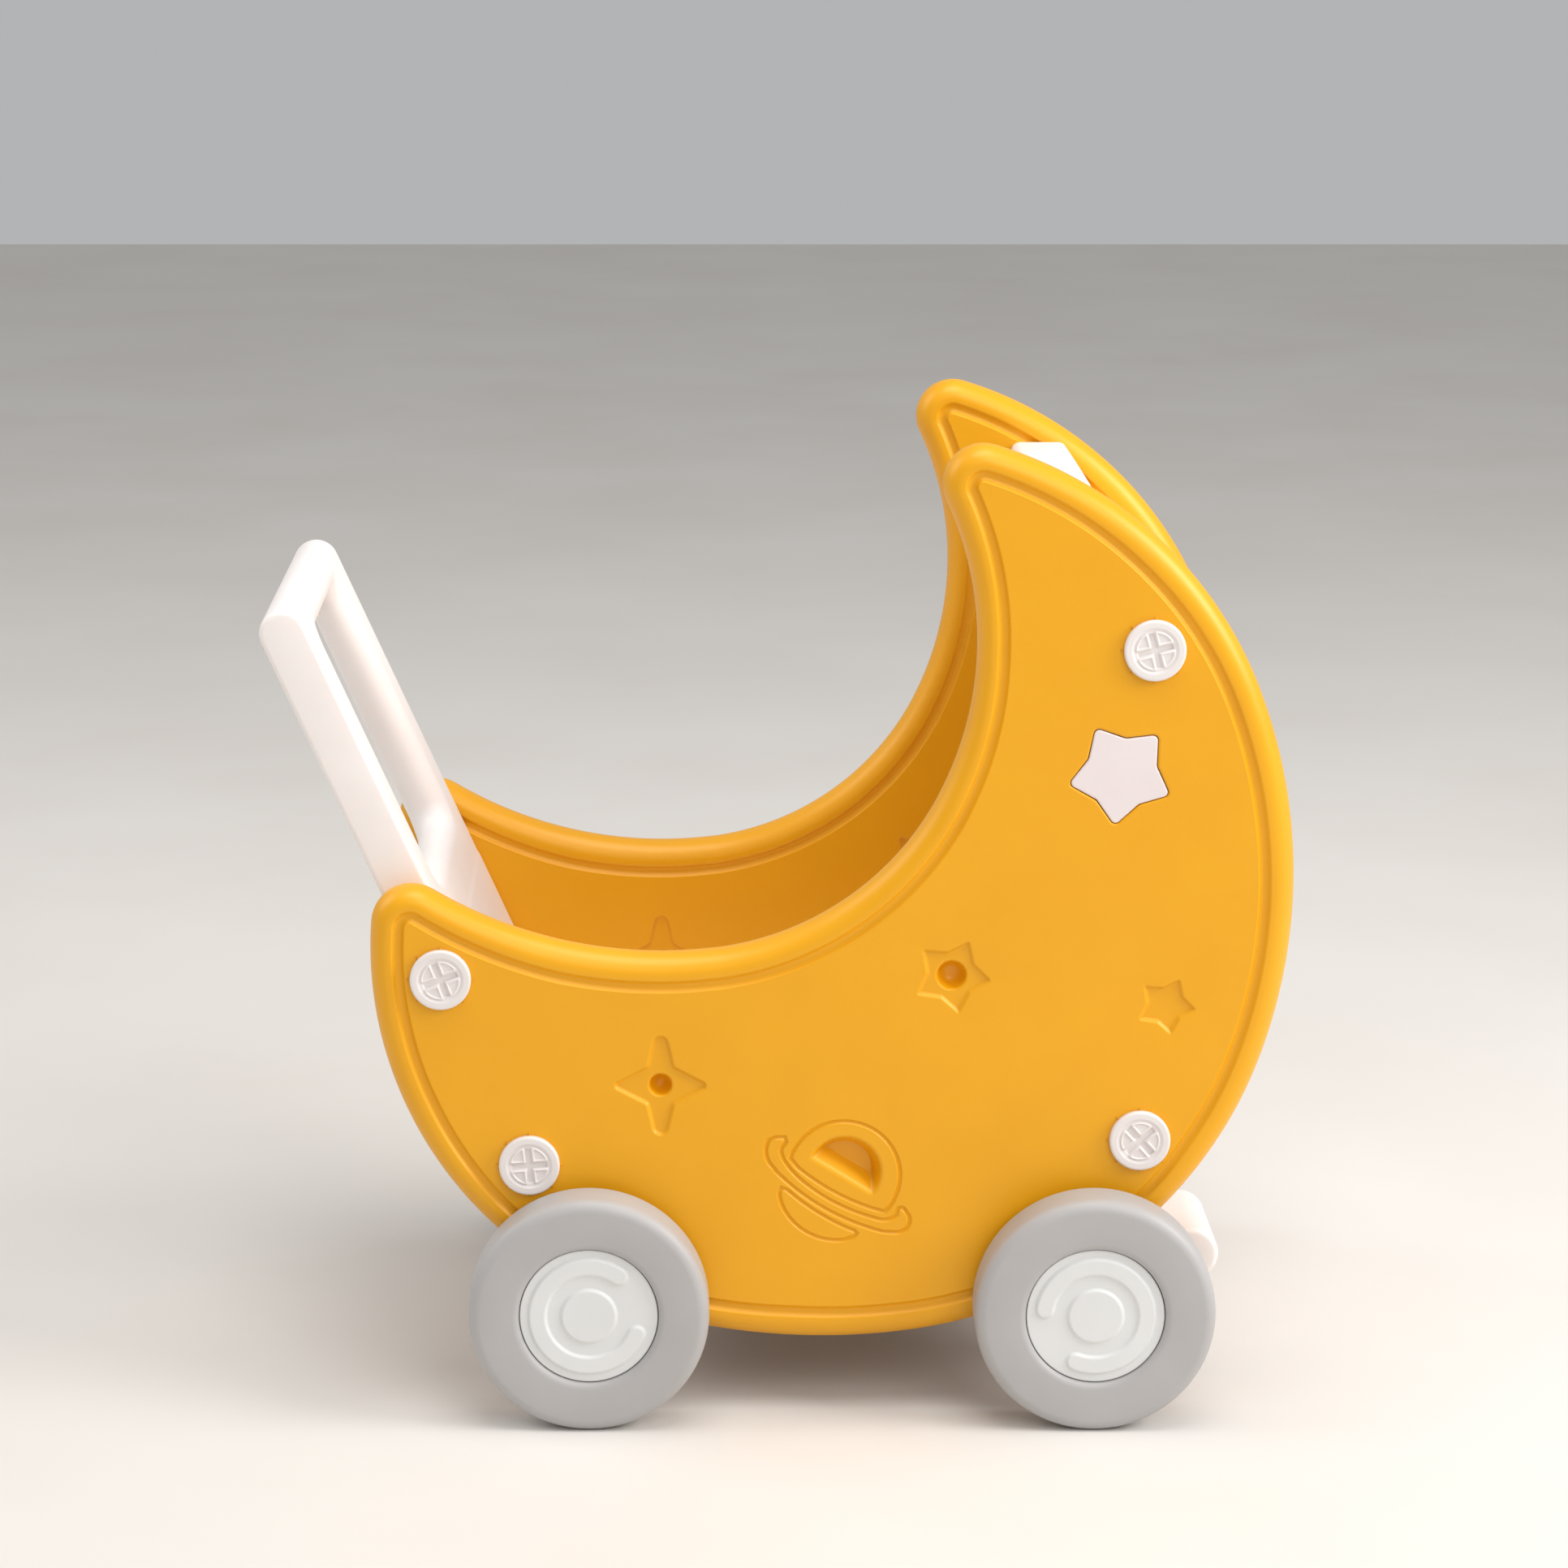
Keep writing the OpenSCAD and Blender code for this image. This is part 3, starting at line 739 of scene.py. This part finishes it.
def front_side():
    """Loop of the front board's side view: a foot round the axle, and the curved board."""
    outer, inner = FRONT_ARC_R + FRONT_HALF_T, FRONT_ARC_R - FRONT_HALF_T
    rise = [math.degrees(math.asin((FRONT_TOP - FRONT_ARC_AT[1]) / r)) for r in (outer, inner)]
    foot = [list(p) for p in arc(AXLE["front"], FOOT_R, 190, 350, 12)]
    face = [list(p) for p in arc(FRONT_ARC_AT, outer, FRONT_LOW, rise[0], 36)]
    back = [list(p) for p in arc(FRONT_ARC_AT, inner, rise[1], FRONT_LOW, 36)]
    face[-1].append(FRONT_TOP_CORNER)
    back[0].append(FRONT_TOP_CORNER)
    return outline(foot + face + back)


def toe_side():
    """Loop from the front axle out to the round toe."""
    axle = AXLE["front"]
    lean = math.degrees(math.atan2(*(TOE_AT - axle)[::-1]))
    ahead = arc(TOE_AT, TOE_R, lean - 90, lean + 90, 14)
    return outline(ahead + arc(axle, FOOT_R, lean + 90, lean + 270, 12))


def front_board():
    solids = [extrusion(front_side(), -BOARD_END, BOARD_END, END_FILLET)]
    for y0, y1 in ((ARCH_HALF, BOARD_END), (-BOARD_END, -ARCH_HALF)):
        solids.append(extrusion(toe_side(), y0, y1, END_FILLET))
    make_piece("front", solids, BLUSH, "frame", ["front_board"])


# The floor's slab ends short of its tabs, which its CAD box takes in
TAB_REAR, TAB_FRONT, TAB_Y, TAB_HALF_W, TAB_HALF_T = 14, 16, 45, 20, 5


def box_side(x0, x1, z0, z1, r):
    return outline([[x0, z0, r], [x1, z0, r], [x1, z1, r], [x0, z1, r]])


def floor_board():
    lo, hi = lo_hi("floor_board")
    mid = (hi[2] + lo[2]) / 2
    slab = box_side(lo[0] + TAB_REAR, hi[0] - TAB_FRONT, lo[2], hi[2], END_FILLET)
    solids = [extrusion(slab, -BOARD_END, BOARD_END, END_FILLET)]
    tab = box_side(lo[0], hi[0], mid - TAB_HALF_T, mid + TAB_HALF_T, 1)
    for y in (-TAB_Y, TAB_Y):
        solids.append(extrusion(tab, y - TAB_HALF_W, y + TAB_HALF_W, 1))
    make_piece("floor_panel", solids, BLUSH, "frame", ["floor_board"])


# ---- wheels ----
CAP_R, CAP_PLATE, CAP_RELIEF, CAP_DISC_R = 37.2, 3, 1.4, 15.0
SKIRT_INSET, SKIRT_T = 5.2, 2
RING_IN, RING_OUT, RING_GAP = 23.0, 32.5, 56.0
CAP_TURN = {
    ("rear", "right"): 16, ("front", "right"): 210, ("rear", "left"): 130, ("front", "left"): 300,
}
BORE_R, SEAT_DEPTH, SHOULDER_R = 17.2, 6, 6.5

# Section of the tyre's mouth round the cap, as [distance past the cap's edge, depth]
TYRE_MOUTH = [[4.2, 0], [2.6, 0.3], [1.3, 1.1], [0.6, 2.2], [0.45, 3.4], [0.45, SEAT_DEPTH]]
# Raised edge of the cap's disc and C-shaped ring, as [inset, height]
RAISED = [[-1.3, 0], [-1.0, 0], [-0.6, 0.1], [-0.1, 0.6], [0.4, 1.1], [0.9, 1.35],
          [1.3, CAP_RELIEF], [1.7, CAP_RELIEF]]


def tyre(axle, side_name):
    """Tyre turned from one section of [radius, height above its inner side]."""
    side = SIDES[side_name]
    ring = Solid(lambda x, z, h: (x, side * (WHEEL_IN + h), z))
    width = WHEEL_OUT - WHEEL_IN
    r, r0 = SHOULDER_R, WHEEL_R - SHOULDER_R
    profile = [[BORE_R, width - SEAT_DEPTH], [BORE_R, 0.6], [BORE_R + 0.6, 0], [r0, 0]]
    profile += [[r0 + r * math.sin(a), r * (1 - math.cos(a))]
                for a in np.linspace(0.2, math.pi / 2, 8)]
    profile += [[r0 + r * math.cos(a), width - r * (1 - math.sin(a))]
                for a in np.linspace(0, math.pi / 2, 9)]
    profile += [[CAP_R + d, width - depth] for d, depth in TYRE_MOUTH]
    rings = [ring.ring(circle(AXLE[axle], reach, 120)(0), h) for reach, h in profile]
    for a, b in zip(rings, rings[1:] + rings[:1]):
        ring.bridge(a, b)
    make_piece(f"tyre_ring_{axle}_{side_name}", [ring], TYRE_GREY, f"wheel_{axle}_{side_name}",
               [f"tyre_{axle}_{side_name}"])


def c_ring(turn, origin):
    """Loop of a ring with a gap, its two ends round."""
    mid_r, end_r = (RING_IN + RING_OUT) / 2, (RING_OUT - RING_IN) / 2
    spare = math.degrees(end_r / mid_r)
    a0, a1 = RING_GAP / 2 + spare, 360 - RING_GAP / 2 - spare

    def end(a, start):
        return arc(mid_r * unit(math.radians(a)), end_r, start, start + 180, 8)[1:-1]

    points = arc((0, 0), RING_OUT, a0, a1, 48) + end(a1, a1)
    points += arc((0, 0), RING_IN, a1, a0, 48) + end(a0, a0 + 180)
    return outline(turned(points, turn, origin))


def hub_cap(axle, side_name):
    """Plate with its raised disc and C-shaped ring, and a skirt that snaps into the tyre."""
    side = SIDES[side_name]
    origin = AXLE[axle]
    lo, hi = lo_hi(f"hub_cap_{axle}_left")
    face = hi[1] - CAP_RELIEF
    depth = lo[1] - face
    cap = Solid(lambda x, z, h: (x, side * (face + h), z))
    features = [(circle(origin, CAP_DISC_R, 56), RAISED, []),
                (c_ring(CAP_TURN[axle, side_name], origin), RAISED, [])]
    made = cap.rings(circle(origin, CAP_R, 96), [[0, -CAP_PLATE]] + quarter(0.6) + [[1.1, 0]])
    cap.relief(made[-1], features, 0)
    back = [[0, -CAP_PLATE], [SKIRT_INSET, -CAP_PLATE], [SKIRT_INSET, depth],
            [SKIRT_INSET + SKIRT_T, depth], [SKIRT_INSET + SKIRT_T, -CAP_PLATE]]
    under = cap.rings(circle(origin, CAP_R, 96), back)
    cap.fill(under[-1])
    make_piece(f"cap_{axle}_{side_name}", [cap], CAP_WHITE, f"wheel_{axle}_{side_name}",
               [f"hub_cap_{axle}_{side_name}"])


# ---- setting ----
def setting():
    """Pale floor, even world light, and soft lamps, the brightest on the hood's side."""
    bpy.ops.mesh.primitive_plane_add(size=12, location=(0, 0, 0))
    ground = bpy.context.object
    ground.name = "ground"
    material = bpy.data.materials.new("pale_floor")
    material.use_nodes = True
    tree = material.node_tree
    shader = tree.nodes["Principled BSDF"]
    tint = ramp(tree, noise(tree, 3), [(0.3, srgb("dad5cf")), (0.7, srgb("dfdbd6"))])
    tree.links.new(tint, shader.inputs["Base Color"])
    shader.inputs["Roughness"].default_value = 0.8
    ground.data.materials.append(material)
    world = bpy.data.worlds.new("studio")
    bpy.context.scene.world = world
    world.use_nodes = True
    background = world.node_tree.nodes["Background"]
    background.inputs["Color"].default_value = (0.98, 0.99, 1.0, 1)
    background.inputs["Strength"].default_value = 0.46
    lamp("window", (2.4, -0.7, 1.6), 1.5, 50, (1.0, 0.99, 0.98))
    lamp("front", (1.0, -2.2, 2.0), 1.8, 20, (1.0, 0.99, 0.98))
    lamp("top", (0.2, -0.5, 2.7), 1.7, 30, (1.0, 0.99, 0.98))
    lamp("wall", (-2.2, 0.2, 1.9), 1.8, 18, (1.0, 0.98, 0.96))


def lamp(name, where, size, power, colour):
    """Round soft lamp that faces the stroller."""
    light = bpy.data.lights.new(name, "AREA")
    light.shape = "DISK"
    light.size = size
    light.energy = power
    light.color = colour
    holder = bpy.data.objects.new(name, light)
    bpy.context.scene.collection.objects.link(holder)
    holder.location = where
    aim = Vector((0, 0, 0.25)) - Vector(where)
    holder.rotation_euler = aim.to_track_quat("-Z", "Y").to_euler()


def camera():
    """Long lens from a little behind and above the stroller's right side, pitched down."""
    data = bpy.data.cameras.new("camera")
    holder = bpy.data.objects.new("camera", data)
    bpy.context.scene.collection.objects.link(holder)
    data.sensor_width = 36
    data.lens = 97.56
    data.shift_x = 0.0717
    data.shift_y = -0.12
    holder.location = (-0.0565, -2.345, 0.870)
    holder.rotation_euler = (math.radians(90 - 10.68), 0, 0)
    bpy.context.scene.camera = holder


camera()
setting()
bpy.context.scene.view_settings.view_transform = "Standard"
for side_name in SIDES:
    side_panel(side_name)
    star_plug(side_name)
    for name in BOLTS:
        bolt(name, side_name)
    for axle in AXLE:
        tyre(axle, side_name)
        hub_cap(axle, side_name)
handle_board()
front_board()
floor_board()
finish_cad_nodes()
